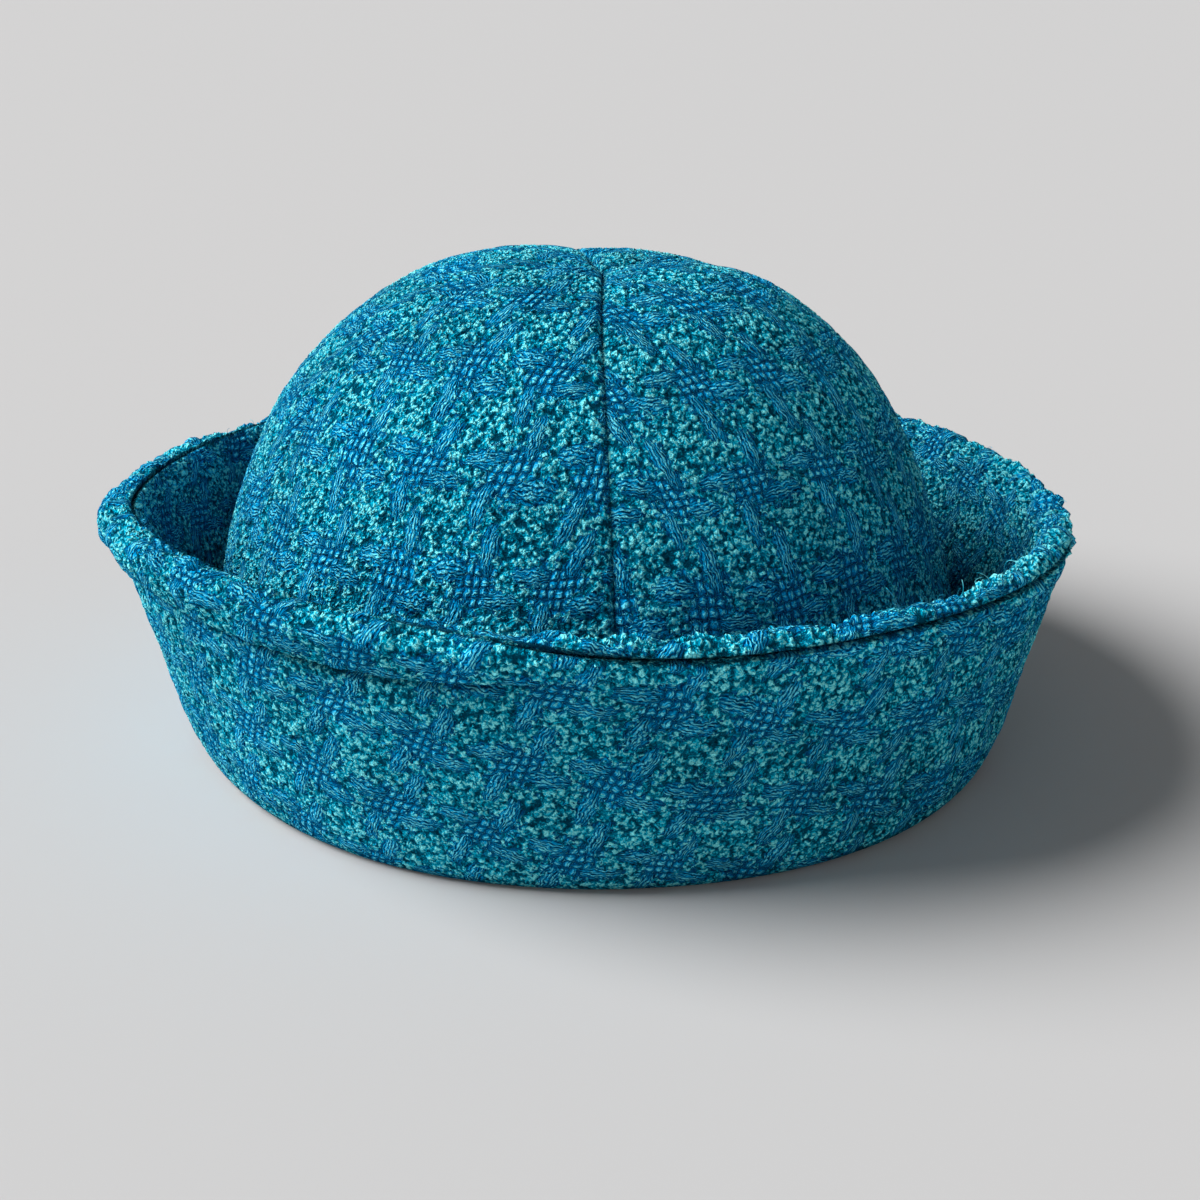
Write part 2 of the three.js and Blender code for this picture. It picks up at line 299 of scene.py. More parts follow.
# One gore: a fine outer face and a plain inner face, closed along its edges and at its tip
def sew_gore(gore):
    name, seam = gore["node"], gore["from_seam"]
    columns, rows, inner = GORE_FACE["columns"], GORE_FACE["rows"], GORE_FACE["inner_columns"]
    share = np.linspace(0, 1, rows + 1)[:-1]
    across = np.linspace(0, 1, columns + 1)
    grid_across, grid_share = np.meshgrid(across, share)
    face = gore_surface(seam, grid_across, grid_share, 0, SEAM_GROOVE["depth"], SEWN_GAP)
    inner_across, inner_share = np.meshgrid(np.linspace(1, 0, inner + 1), share)
    lining = gore_surface(seam, inner_across, inner_share, -CLOTH_THICKNESS, 0, SEWN_GAP)
    loops = np.concatenate([face, lining], 1)
    a_row = loops.shape[1]
    tips = [
        gore_surface(seam, np.array(0.5), np.array(1.0), lift, SEAM_GROOVE["depth"], SEWN_GAP)
        for lift in (0, -CLOTH_THICKNESS)
    ]
    points = np.vstack([loops.reshape(-1, 3), *tips])
    first_tip, second_tip = len(points) - 2, len(points) - 1
    k = np.arange(a_row)
    following = (k + 1) % a_row
    low = (np.arange(rows - 1) * a_row)[:, None]
    quads = np.stack([low + k, low + following, low + a_row + following, low + a_row + k], -1)
    faces = list(quads.reshape(-1, 4))
    top = (rows - 1) * a_row
    for j in range(a_row):
        after = (j + 1) % a_row
        tip = first_tip if j < columns else second_tip
        if j in (columns, a_row - 1):
            one, two = (first_tip, second_tip) if j == columns else (second_tip, first_tip)
            faces.append([top + j, top + after, two, one])
        else:
            faces.append([top + j, top + after, tip])
    faces += lower_edge(columns, inner)
    out = dome_spot(share)[0]
    start, span = gore_span(seam, share)
    right = ((grid_across - 0.5) * span[:, None]) * out[:, None]
    length = grid_share * MERIDIAN["length"]
    place = in_repeats(right, length, **CROWN_REPEAT) + np.array(gore["weave_shift"])
    place = place + yarn_wander(face)
    inner_right = (inner_across - 0.5) * (span * out)[:, None]
    inner_place = in_repeats(inner_right, inner_share * MERIDIAN["length"], **CROWN_REPEAT)
    tip_place = place[-1, columns // 2]
    both_faces = np.concatenate([place, inner_place], 1).reshape(-1, 2)
    places = np.vstack([both_faces, tip_place, tip_place])
    toward_seam = np.minimum(grid_across, 1 - grid_across) * (span * out)[:, None]
    from_top = out[:, None] * np.ones_like(grid_across)
    relief = smooth_rise(toward_seam, 0, GORE_FLATTENED["at_seams"])
    relief = relief * smooth_rise(grid_share, 0, GORE_FLATTENED["at_foot"])
    relief = relief * smooth_rise(from_top, *GORE_FLATTENED["at_top"])
    relief = np.concatenate([relief, np.zeros_like(inner_across)], 1).ravel()
    relief = np.concatenate([relief, [0, 0]])
    piece = new_cloth(name.replace("crown_", "cloth_"), points, faces, places, relief)
    corner_points = np.zeros(len(piece.data.loops), np.int32)
    piece.data.loops.foreach_get("vertex_index", corner_points)
    mark_weave(piece, places[corner_points])
    return piece


# Faces that close a gore's lower edge between its outer face and its coarser inner face
def lower_edge(columns, inner):
    faces = []
    last = columns + 1 + inner
    k = 0
    for j in range(columns):
        faces.append([j + 1, j, last - k])
        if k < inner and (j + 1) * inner >= (k + 0.5) * columns:
            faces.append([j + 1, last - k, last - k - 1])
            k += 1
    while k < inner:
        faces.append([columns, last - k, last - k - 1])
        k += 1
    return faces


# The marks of the brim's edge at any azimuth
def edge_at(azimuths):
    rows = len(BRIM_EDGE)
    step = azimuths / (360 / rows)
    k = np.floor(step).astype(int)
    edge = {}
    for key in ("fold", "out", "up", "seam_turn", "band"):
        marks = np.array([row[key] for row in BRIM_EDGE], float)
        edge[key] = catmull_rom(*(marks[(k + shift) % rows] for shift in (-1, 0, 1, 2)), step - k)
    return edge


def turned(x, y):
    return np.stack([x, y], -1)


# The brim's wall at each azimuth, as places out and up: its middles at the fold and the roll, the
# ways along it and out of it, and the marks of its edge
def brim_wall(azimuths):
    edge = edge_at(azimuths)
    middle = turned(edge["out"], edge["up"])
    fold_middle = turned(edge["fold"] - FOLD_ROUNDING, np.full_like(azimuths, FOLD_ROUNDING))
    along = middle - fold_middle
    along /= np.linalg.norm(along, axis=1)[:, None]
    return {
        "middle": middle,
        "fold_middle": fold_middle,
        "halfway": (middle + fold_middle) / 2,
        "along": along,
        "outward": turned(along[:, 1], -along[:, 0]),
        "seam_turn": np.radians(edge["seam_turn"]),
        "band": np.maximum(edge["band"], 0),
        "band_width": BAND_WIDTH * (0.5 + 0.5 * smooth_rise(edge["band"], 0.4, 1)),
        "half": CLOTH_THICKNESS + PANEL_GAP / 2,
    }


# Places so far down the wall from an origin and so far off it
def off_wall(wall, origin, down, off):
    column = lambda value: np.reshape(value, (-1, 1)) * np.ones((len(origin), 1))
    return origin - wall["along"] * column(down) + wall["outward"] * column(off)


# Places on a circle round the roll's middle, at an angle from the top toward the inside
def on_roll(wall, angle, radius):
    return off_wall(wall, wall["middle"], -np.cos(angle) * radius, -np.sin(angle) * radius)


def roll_out(wall, angle):
    return ROLL_RADIUS + BAND_RISE * wall["band"] * np.maximum(0, -np.sin(angle))


# Where the parting of the two layers turns down into the wall, on the outer or the inner side
def parting_corner(wall, side):
    across = on_roll(wall, wall["seam_turn"] - np.pi / 2, 1) - wall["middle"]
    level = 1 + np.sum(across * wall["outward"], axis=1)
    return wall["middle"] + (across + wall["outward"]) * (side * PANEL_GAP / 2 / level)[:, None]


# The bottom of the groove on the roll where the two layers meet, on the outer or the inner side
def groove_foot(wall, side):
    across = on_roll(wall, wall["seam_turn"] - np.pi / 2, side * PANEL_GAP / 2) - wall["middle"]
    return on_roll(wall, wall["seam_turn"], ROLL_RADIUS - EDGE_SEAM["depth"]) + across


# A smooth path through marks at each azimuth, divided evenly into rows
def fair_path(marks, rows, fine=14):
    marks = np.stack(marks, 1)
    chord = np.maximum(np.linalg.norm(np.diff(marks, axis=1), axis=2), 1e-6)[..., None]
    slope = np.diff(marks, axis=1) / chord
    tangent = np.empty_like(marks)
    tangent[:, 1:-1] = (slope[:, 1:] * chord[:, :-1] + slope[:, :-1] * chord[:, 1:]) / (
        chord[:, 1:] + chord[:, :-1]
    )
    tangent[:, 0], tangent[:, -1] = slope[:, 0], slope[:, -1]
    t = np.linspace(0, 1, fine, endpoint=False)[None, None, :, None]
    a, b = marks[:, :-1, None], marks[:, 1:, None]
    chord = chord[:, :, None]
    path = bridge(a, b, tangent[:, :-1, None] * chord, tangent[:, 1:, None] * chord, t)
    path = path.reshape(len(marks), -1, 2)
    path = np.concatenate([path, marks[:, -1:]], 1)
    length = np.concatenate(
        [np.zeros((len(path), 1)), np.cumsum(np.linalg.norm(np.diff(path, axis=1), axis=2), 1)], 1
    )
    even = np.empty((len(path), rows + 1, 2))
    for k in range(len(path)):
        at = np.linspace(0, length[k, -1], rows + 1)
        even[k, :, 0] = np.interp(at, length[k], path[k, :, 0])
        even[k, :, 1] = np.interp(at, length[k], path[k, :, 1])
    return even, length[:, -1]


# The outer layer's section at each azimuth: marks along its shown face, and its hidden corners
def outer_paths(azimuths):
    wall = brim_wall(azimuths)
    lean = np.arctan2(wall["outward"][:, 1], wall["outward"][:, 0])
    level = np.zeros_like(azimuths)
    shown = [turned(level + FOLD_INNER_RADIUS, level)]
    for step in range(5):
        angle = -np.pi / 2 + (lean + np.pi / 2) * step / 4
        shown.append(wall["fold_middle"] + FOLD_ROUNDING * turned(np.cos(angle), np.sin(angle)))
    half, band = wall["half"], wall["band"]
    shown.append(off_wall(wall, wall["halfway"], 0, half + WALL_BOW))
    for mark in BAND_PROFILE:
        off = half + WALL_BOW * mark["bow"] + BAND_RISE * band * mark["rise"]
        shown.append(off_wall(wall, wall["middle"], wall["band_width"] * mark["down"], off))
    end = wall["seam_turn"] - np.radians(EDGE_SEAM["half_angle"])
    for step in range(6):
        angle = -np.pi / 2 + (end + np.pi / 2) * step / 5
        shown.append(on_roll(wall, angle, roll_out(wall, angle)))
    hidden = [
        groove_foot(wall, 1),
        parting_corner(wall, 1),
        off_wall(wall, wall["halfway"], 0, WALL_BOW + PANEL_GAP / 2),
        off_wall(wall, wall["fold_middle"], 0, FOLD_ROUNDING - CLOTH_THICKNESS),
        turned(wall["fold_middle"][:, 0] + HIDDEN_CORNER["outer"], level + CLOTH_THICKNESS),
        turned(level + FOLD_INNER_RADIUS, level + CLOTH_THICKNESS),
    ]
    return shown, hidden


# The same for the inner layer
def inner_paths(azimuths):
    wall = brim_wall(azimuths)
    level = np.zeros_like(azimuths)
    floor = CLOTH_THICKNESS + PANEL_GAP
    edge = FOLD_INNER_RADIUS + PANEL_GAP
    offset = FOLD_ROUNDING - CLOTH_THICKNESS - PANEL_GAP
    shown = []
    start = wall["seam_turn"] + np.radians(EDGE_SEAM["half_angle"])
    for step in range(8):
        angle = start + (np.pi / 2 - start) * step / 7
        shown.append(on_roll(wall, angle, roll_out(wall, angle)))
    shown.append(off_wall(wall, wall["middle"], BAND_WIDTH * UNDER_ROLL, -wall["half"]))
    shown.append(off_wall(wall, wall["halfway"], 0, WALL_BOW - wall["half"]))
    shown.append(off_wall(wall, wall["fold_middle"], -SEAM_ALLOWANCE, offset - CLOTH_THICKNESS))
    shown.append(turned(level + edge, level + floor + SEAM_ALLOWANCE / 2))
    hidden = [
        turned(level + edge, level + floor),
        turned(wall["fold_middle"][:, 0] + HIDDEN_CORNER["inner"], level + floor),
        off_wall(wall, wall["fold_middle"], 0, offset),
        off_wall(wall, wall["halfway"], 0, WALL_BOW - PANEL_GAP / 2),
        parting_corner(wall, -1),
        groove_foot(wall, -1),
    ]
    return shown, hidden


# One layer of the brim: its section carried all the way round
def sew_brim(node, paths, mirrored):
    columns, rows = BRIM_FACE["columns"], BRIM_FACE["rows"]
    azimuths = np.arange(columns) * 360 / columns
    shown, hidden = paths(azimuths)
    face, length = fair_path(shown, rows)
    face[..., 1] = np.maximum(face[..., 1], 0)
    section = np.concatenate([face, np.stack(hidden, 1)], 1)
    a_ring = section.shape[1]
    turn = np.radians(azimuths)[:, None]
    points = np.stack(
        [
            section[..., 0] * np.cos(turn) + HAT_AXIS[0],
            section[..., 0] * np.sin(turn) + HAT_AXIS[1],
            section[..., 1],
        ],
        -1,
    )
    k = np.arange(a_ring)
    here = (np.arange(columns) * a_ring)[:, None]
    beyond = ((np.arange(columns) + 1) % columns * a_ring)[:, None]
    above = (k + 1) % a_ring
    quads = np.stack([here + k, beyond + k, beyond + above, here + above], -1).reshape(-1, 4)
    # places in the weave, with one column more than the ring has, for the last faces' corners
    wrap = BRIM_WRAP
    weft = [
        (way - wrap["warps"] * warp) / wrap["wefts"]
        for way, warp in zip((wrap["round"], 0), wrap["warp"])
    ]
    around = np.arange(columns + 1) / columns * wrap["round"]
    up = np.linspace(0, 1, rows + 1)[None, :] * np.append(length, length[0])[:, None]
    up = np.concatenate([up, np.repeat(up[:, -1:], len(hidden), 1)], 1)
    right = np.repeat(around[:, None], a_ring, 1)
    if mirrored:
        right, up = wrap["round"] - right, -up
    places = in_repeats(right, up, weft, wrap["warp"])
    wander = yarn_wander(points)
    places = places + np.concatenate([wander, wander[:1]], 0)
    relief = np.ones((columns, rows + 1))
    row = np.arange(rows + 1)
    relief *= smooth_rise(np.minimum(row, rows - row), 0, BRIM_FLATTENED["edge_rows"])
    relief *= smooth_rise(face[..., 1], *BRIM_FLATTENED["above_floor"])
    wall = brim_wall(azimuths)
    # Near the roll the relief is fuller, and the cloth's colour reads that to paint a highlight on
    # the rolled edge
    from_roll = np.linalg.norm(face - wall["middle"][:, None], axis=2)
    on_edge = 1 - smooth_rise(from_roll, *(ROLL_RADIUS + past for past in LUMPS_FADE))
    relief *= 1 + ROLL_LUMPS * on_edge
    # Under the band the relief is flattened, and the cloth's colour reads that to paint a shadow
    # under the band
    if not mirrored:
        down = np.sum((wall["middle"][:, None] - face) * wall["along"][:, None], axis=2)
        from_foot = down - wall["band_width"][:, None] * BAND_FOOT["down"]
        near_foot = np.exp(-((from_foot / BAND_FOOT["half_width"]) ** 2))
        relief *= 1 - BAND_FOOT["flattened"] * wall["band"][:, None] * near_foot
    relief = np.concatenate([relief, np.zeros((columns, len(hidden)))], 1)
    piece = new_cloth(
        node.replace("brim_", "cloth_brim_"),
        points.reshape(-1, 3),
        list(quads),
        places[:-1].reshape(-1, 2),
        relief.ravel(),
    )
    column = np.arange(columns)[:, None]
    corners = ((column, k), (column + 1, k), (column + 1, above), (column, above))
    mark_weave(piece, np.stack([places[corner] for corner in corners], 2).reshape(-1, 2))
    return piece


class Amount:
    """A number in a node tree; sums and products of amounts become its Math nodes."""

    def __init__(self, tree, socket):
        self.tree, self.socket = tree, socket

    def worked(self, operation, *others):
        node = self.tree.nodes.new("ShaderNodeMath")
        node.operation = operation
        for slot, part in zip(node.inputs, (self, *others)):
            if isinstance(part, Amount):
                self.tree.links.new(part.socket, slot)
            else:
                slot.default_value = part
        return Amount(self.tree, node.outputs[0])

    def __add__(self, other):
        return self.worked("ADD", other)

    def __sub__(self, other):
        return self.worked("SUBTRACT", other)

    def __mul__(self, other):
        return self.worked("MULTIPLY", other)

    def __truediv__(self, other):
        return self.worked("DIVIDE", other)

    def flipped(self):
        return self.worked("MULTIPLY_ADD", -1.0, 1.0)

    def size(self):
        return self.worked("ABSOLUTE")

    def least(self, other):
        return self.worked("MINIMUM", other)

    def most(self, other):
        return self.worked("MAXIMUM", other)

    def rounded(self, power):
        return (self * self).flipped().most(0.0).worked("POWER", power)

    def wrapped(self, half):
        return self.worked("WRAP", half, -half)

    def rising(self, low, high, curve="SMOOTHSTEP"):
        node = self.tree.nodes.new("ShaderNodeMapRange")
        node.interpolation_type = curve
        self.tree.links.new(self.socket, node.inputs["Value"])
        node.inputs["From Min"].default_value = low
        node.inputs["From Max"].default_value = high
        return Amount(self.tree, node.outputs["Result"])

    def ridge(self, width):
        return self.worked("MULTIPLY_ADD", 2.0, -1.0).size().rising(0.0, width).flipped()

    def toward(self, other, share):
        node = self.tree.nodes.new("ShaderNodeMix")
        self.tree.links.new(share.socket, node.inputs[0])
        for slot, part in ((node.inputs[2], self), (node.inputs[3], other)):
            self.tree.links.new(part.socket, slot)
        return Amount(self.tree, node.outputs[0])


def parts_of(tree, vector):
    node = tree.nodes.new("ShaderNodeSeparateXYZ")
    tree.links.new(vector, node.inputs[0])
    return [Amount(tree, node.outputs[k]) for k in range(3)]


def vector_of(tree, *parts):
    node = tree.nodes.new("ShaderNodeCombineXYZ")
    for slot, part in zip(node.inputs, parts):
        tree.links.new(part.socket, slot)
    return node.outputs[0]


# A vector times a number, plus a vector
def vector_sum(tree, vector, factor, more):
    node = tree.nodes.new("ShaderNodeVectorMath")
    node.operation = "MULTIPLY_ADD"
    tree.links.new(vector, node.inputs[0])
    node.inputs[1].default_value = (factor, factor, factor)
    if isinstance(more, tuple):
        node.inputs[2].default_value = more
    else:
        tree.links.new(more, node.inputs[2])
    return node.outputs[0]


def noise(tree, place, scale, detail):
    node = tree.nodes.new("ShaderNodeTexNoise")
    tree.links.new(place, node.inputs["Vector"])
    node.inputs["Scale"].default_value = scale
    node.inputs["Detail"].default_value = detail
    return node


def noise_amount(tree, place, scale, detail):
    return Amount(tree, noise(tree, place, scale, detail).outputs[0])


# Three uneven amounts about 0, and the colour that they come from
def unevenness(tree, spot, scale, detail):
    colour = noise(tree, spot, scale, detail).outputs["Color"]
    return colour, [part - 0.5 for part in parts_of(tree, colour)]


# The floats round each star of blue yarn: where the middle of each lies from the star's, in
# yarns to the right and down, its half length and half width, and the way that it runs
STAR_FLOATS = [
    {"right": -3.35, "down": -1.3, "half_length": 2.2, "half_width": 1.02, "runs": "weft"},
    {"right": 3.45, "down": 1.35, "half_length": 2.2, "half_width": 1.02, "runs": "weft"},
    {"right": 1.3, "down": -3.45, "half_length": 2.1, "half_width": 1.05, "runs": "warp"},
    {"right": -1.3, "down": 3.35, "half_length": 2.1, "half_width": 1.05, "runs": "warp"},
]
STAR_BLOCK = {"half_length": 2.5, "half_width": 2.4}

# Yarns: how wide a yarn and a thread are, and half a float's width and length. A name that ends
# in A_MM says how often a thing comes to a millimetre, and one that ends in HEIGHT how high it
# stands. The wobble and a curl's width are shares of their noise, and slips are in yarns.
YARN_WIDTH = 2.0
THREAD_WIDTH = 0.78
FLOAT_HALF = {"side": 2.1, "along": 4.1}
NUBS_A_MM = 0.7
NUB_WOBBLE = 3.0
CURLS_A_MM = 0.72
CURL_WIDTH = 0.7
FRAY_A_MM = 0.85
DRIFT_A_MM = 0.35
SAG_A_MM = 0.03
LUMPS_A_MM = 0.13
WEAR_A_MM = 0.06
YARN_HEIGHT = 0.9
SAG_HEIGHT = 1.2
LUMP_HEIGHT = 1.6
BUMP_HEIGHT = 1.7
YARN_SLIP = {"relief": 0.5, "ragged": 0.6, "drift": 0.5}

# Relief in shares of a yarn's height: where each kind of cloth has its foot, how much higher
# its top is, and the height that stays level with the panel
RELIEF = {
    "float": {"foot": 0.25, "rise": 0.6},
    "block": {"foot": 0.15, "rise": 0.55},
    "boucle": {"foot": 0.1, "rise": 0.75},
}
RELIEF_LEVEL = 0.45

# Edges of the blue shapes: how much the fine and the slow unevenness shift them, and between
# which depths the blue yarn takes over
FLOAT_EDGE = {"ragged": 2.6, "drift": 0.7, "depths": (-0.08, 0.1)}
BLOCK_EDGE = {"ragged": 2.8, "drift": 0.9, "depths": (-0.14, 0.0)}

# How much of a blue yarn's height its threads and its finer strands make
THREAD_SHARE = {"threads": 0.75, "strands": 0.45}

# Wear and painted light: how much lighter the worn places are, and how much lighter a painted
# highlight makes the rolled edge
WEAR_AND_EDGE_HIGHLIGHT = {"places": 0.3, "edge": 0.17}


# Chart of the star in yarns across and down: how far a place is to the side and along in the
# nearest float, how deep inside it, and how deep inside the block of plain weave
def star_chart(across, down):
    side = along = inside = None
    half = YARNS_A_REPEAT / 2
    for row in STAR_FLOATS:
        x, y = (across - row["right"]).wrapped(half), (down - row["down"]).wrapped(half)
        lengthwise, aside = (x, y) if row["runs"] == "weft" else (y, x)
        lengthwise = lengthwise / row["half_length"]
        narrowing = (lengthwise * lengthwise).worked("MULTIPLY_ADD", -0.35, 1.0)
        aside = aside / (narrowing * row["half_width"])
        within = aside.size().flipped().least(lengthwise.size().flipped() * 1.7)
        if inside is None:
            side, along, inside = aside, lengthwise, within
        else:
            nearer = within.worked("GREATER_THAN", inside)
            side, along = side.toward(aside, nearer), along.toward(lengthwise, nearer)
            inside = inside.most(within)
    x = across.wrapped(half) / STAR_BLOCK["half_length"]
    y = down.wrapped(half) / STAR_BLOCK["half_width"]
    return side, along, inside, x.size().most(y.size()).flipped()


def nub_dome(tree, spot, fray):
    nubs = tree.nodes.new("ShaderNodeTexVoronoi")
    nubs.inputs["Scale"].default_value = NUBS_A_MM
    tree.links.new(vector_sum(tree, fray, NUB_WOBBLE, spot), nubs.inputs["Vector"])
    return Amount(tree, nubs.outputs["Distance"]).rising(0.05, 0.95).flipped()


def named_attribute(tree, name):
    node = tree.nodes.new("GeometryNodeInputNamedAttribute")
    node.data_type = "FLOAT_VECTOR"
    node.inputs["Name"].default_value = name
    return next(s for s in node.outputs if s.enabled and s.type == "VECTOR")


def with_attribute(tree, geometry, name, vector):
    node = tree.nodes.new("GeometryNodeStoreNamedAttribute")
    node.data_type = "FLOAT_VECTOR"
    node.inputs["Name"].default_value = name
    tree.links.new(geometry, node.inputs["Geometry"])
    tree.links.new(vector, next(s for s in node.inputs if s.enabled and s.type == "VECTOR"))
    return node.outputs[0]


def standing(amount, kind):
    return amount * RELIEF[kind]["rise"] + RELIEF[kind]["foot"]


# Relief of the yarns on the cloth's face, applied to the mesh. It also marks each point with
# the star's chart, which the cloth's colours read.
def press_relief(piece):
    tree = bpy.data.node_groups.new(piece.name + "_relief", "GeometryNodeTree")
    tree.interface.new_socket("Geometry", in_out="INPUT", socket_type="NodeSocketGeometry")
    tree.interface.new_socket("Geometry", in_out="OUTPUT", socket_type="NodeSocketGeometry")
    start, end = tree.nodes.new("NodeGroupInput"), tree.nodes.new("NodeGroupOutput")
    spot = named_attribute(tree, "before_relief")
    weft, warp, taken = parts_of(tree, named_attribute(tree, "weave_and_relief"))
    across, down = weft * YARNS_A_REPEAT, warp * YARNS_A_REPEAT
    fray, (slip_across, slip_down, _) = unevenness(tree, spot, FRAY_A_MM, 2.0)
    slip = YARN_SLIP["relief"]
    side, along, inside, block = star_chart(across + slip_across * slip, down + slip_down * slip)
    float_height = standing(side.rounded(0.5) * along.rounded(0.4), "float")
    over = (across * math.pi).worked("SINE") * (down * math.pi).worked("SINE")
    block_height = standing(over.size().worked("POWER", 0.6), "block")
    boucle_height = standing(nub_dome(tree, spot, fray), "boucle")
    level = boucle_height.toward(block_height, block.rising(-0.1, 0.15))
    level = level.toward(float_height, inside.rising(-0.15, 0.25))
    slow = noise_amount(tree, spot, SAG_A_MM, 1.0) - 0.5
    lumps = (noise_amount(tree, spot, LUMPS_A_MM, 1.0) - 0.5) * (taken - 1.0).most(0.0)
    lift = (level - RELIEF_LEVEL) * (YARN_HEIGHT * MM) + slow * (SAG_HEIGHT * MM)
    lift = lift + lumps * (LUMP_HEIGHT * MM)
    scale = tree.nodes.new("ShaderNodeVectorMath")
    scale.operation = "SCALE"
    tree.links.new(tree.nodes.new("GeometryNodeInputNormal").outputs[0], scale.inputs[0])
    tree.links.new((lift * taken).socket, scale.inputs["Scale"])
    chart = vector_of(tree, side, along, inside)
    geometry = with_attribute(tree, start.outputs[0], "float_chart", chart)
    geometry = with_attribute(tree, geometry, "block_chart", vector_of(tree, block, taken, taken))
    move = tree.nodes.new("GeometryNodeSetPosition")
    tree.links.new(geometry, move.inputs["Geometry"])
    tree.links.new(scale.outputs[0], move.inputs["Offset"])
    tree.links.new(move.outputs[0], end.inputs[0])
    modifier = piece.modifiers.new("relief", "NODES")
    modifier.node_group = tree
    pick_out(piece)
    bpy.ops.object.modifier_apply(modifier=modifier.name)
    piece.select_set(False)


# Colours of the two yarns from their hollows to their tops: the yarns' own colours, with painted
# shade darkening the hollows and painted highlights lightening the tops
BLUE_YARN = [
    {"at": 0.0, "colour": (0.0, 0.005, 0.02)},
    {"at": 0.24, "colour": (0.0, 0.036, 0.12)},
    {"at": 0.47, "colour": (0.0, 0.14, 0.36)},
    {"at": 0.7, "colour": (0.0, 0.37, 0.73)},
    {"at": 0.9, "colour": (0.16, 0.83, 1.0)},
]
BOUCLE_YARN = [
    {"at": 0.0, "colour": (0.0, 0.007, 0.018)},
    {"at": 0.24, "colour": (0.0, 0.06, 0.11)},
    {"at": 0.47, "colour": (0.0, 0.245, 0.41)},
    {"at": 0.65, "colour": (0.0, 0.53, 0.77)},
    {"at": 0.87, "colour": (0.22, 0.92, 1.0)},
]

CLOTH_FINISH = {
    "Roughness": 0.75,
    "Specular IOR Level": 0.0,
    "Sheen Weight": 0.05,
    "Sheen Roughness": 0.4,
    "Sheen Tint": (0.1, 0.7, 1.0, 1),
}
FIBRE_FINISH = {"Roughness": 0.7, "Specular IOR Level": 0.1, "Sheen Weight": 0.1}


def new_material(name, finish):
    material = bpy.data.materials.new(name)
    material.use_nodes = True
    shader = material.node_tree.nodes["Principled BSDF"]
    for socket, value in finish.items():
        shader.inputs[socket].default_value = value
    return material, material.node_tree, shader


# A colour from a height along the stops; on the cloth, low heights get painted shade and high ones
# painted highlights
def yarn_colour(tree, height, stops):
    node = tree.nodes.new("ShaderNodeValToRGB")
    tree.links.new(height.socket, node.inputs[0])
    elements = node.color_ramp.elements
    while len(elements) < len(stops):
        elements.new(0.5)
    for element, stop in zip(elements, stops):
        element.position = stop["at"]
        element.color = (*stop["colour"], 1)
    return node.outputs[0]


def attribute(tree, name):
    node = tree.nodes.new("ShaderNodeAttribute")
    node.attribute_name = name
    return node.outputs["Vector"]
